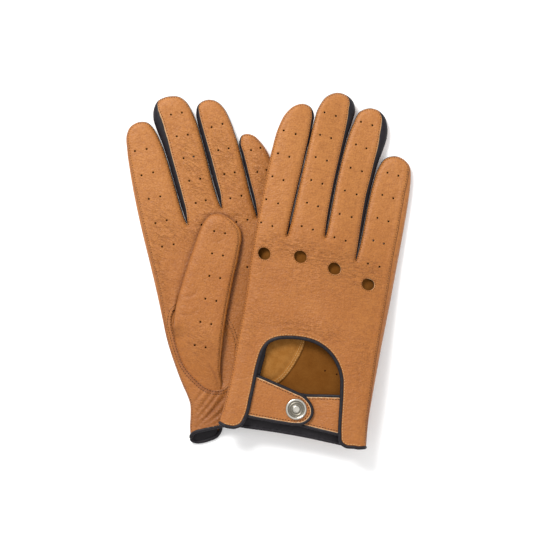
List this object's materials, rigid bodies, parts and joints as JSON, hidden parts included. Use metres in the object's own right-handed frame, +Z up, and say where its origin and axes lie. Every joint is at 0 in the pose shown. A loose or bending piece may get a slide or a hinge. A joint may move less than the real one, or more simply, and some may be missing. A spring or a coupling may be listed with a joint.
{
  "type": "leather driving gloves",
  "caption": "Pair of unlined leather driving gloves with open knuckles, perforated fingers, a cut-out back and a snap wrist strap, lying palm up and palm down.",
  "frame": {"origin": "centre of the pair's bounding box, on the table under them", "axes": "+Z up, +Y towards the fingertips along the pair's longest side, +X towards the right-hand glove"},
  "size_m": [0.1973, 0.2447, 0.0263],
  "materials": {
    "tan_leather": "satin, fine-grained, perforated",
    "navy_leather": "satin, soft",
    "suede_inside": "matt, napped flesh side",
    "snap_metal": "polished nickel",
    "thread": "matt sewing thread"
  },
  "bodies": {
    "left_glove": {"left_back_panel": "tan_leather", "left_palm_panel": "tan_leather", "left_index_side_strip": "tan_leather", "left_little_side_strip": "tan_leather", "left_fourchette_index_middle": "navy_leather", "left_fourchette_middle_ring": "navy_leather", "left_fourchette_ring_little": "navy_leather", "left_back_binding": "navy_leather", "left_palm_binding": "navy_leather", "left_thumb_root": "tan_leather", "left_strap_tab": "tan_leather", "left_tab_binding": "navy_leather", "left_snap_stud": "snap_metal", "left_snap_rivet": "snap_metal"},
    "left_thumb": {"left_thumb_front": "tan_leather", "left_thumb_gusset": "tan_leather"},
    "left_strap": {"left_strap_flap": "tan_leather", "left_flap_binding": "navy_leather", "left_snap_cap": "snap_metal", "left_snap_socket": "snap_metal"},
    "right_glove": {"right_back_panel": "tan_leather", "right_palm_panel": "tan_leather", "right_index_side_strip": "tan_leather", "right_little_side_strip": "tan_leather", "right_fourchette_index_middle": "navy_leather", "right_fourchette_middle_ring": "navy_leather", "right_fourchette_ring_little": "navy_leather", "right_back_binding": "navy_leather", "right_palm_binding": "navy_leather", "right_thumb_root": "tan_leather", "right_strap_tab": "tan_leather", "right_tab_binding": "navy_leather", "right_snap_stud": "snap_metal", "right_snap_rivet": "snap_metal"},
    "right_thumb": {"right_thumb_front": "tan_leather", "right_thumb_gusset": "tan_leather"},
    "right_strap": {"right_strap_flap": "tan_leather", "right_flap_binding": "navy_leather", "right_snap_cap": "snap_metal", "right_snap_socket": "snap_metal"}
  },
  "joints": [
    {"name": "left_strap_hinge", "type": "hinge", "parent": "left_glove", "child": "left_strap", "pos_m": [-0.03432, -0.08922, 0], "axis": [-0.2689, 0.9632, 0], "range_deg": [0, 150]},
    {"name": "left_thumb_fold", "type": "hinge", "parent": "left_glove", "child": "left_thumb", "pos_m": [-0.0416, -0.03916, 0.0164], "axis": [1, -0.0017, 0], "range_deg": [0, 60]},
    {"name": "right_glove_lift", "type": "slide", "parent": "left_glove", "child": "right_glove", "axis": [0, 0, 1], "range_m": [0, 0.07]},
    {"name": "right_strap_hinge", "type": "hinge", "parent": "right_glove", "child": "right_strap", "pos_m": [-0.01004, -0.08573, 0.0263], "axis": [-0.225, -0.9744, 0], "range_deg": [0, 150]},
    {"name": "right_thumb_fold", "type": "hinge", "parent": "right_glove", "child": "right_thumb", "pos_m": [0.00754, -0.03829, 0.0095], "axis": [-0.8771, 0.4802, 0], "range_deg": [0, 45]}
  ],
  "couplings": [
    {"joint": "right_thumb_fold", "follows": "right_glove_lift", "rad_per_m": 11.195}
  ]
}
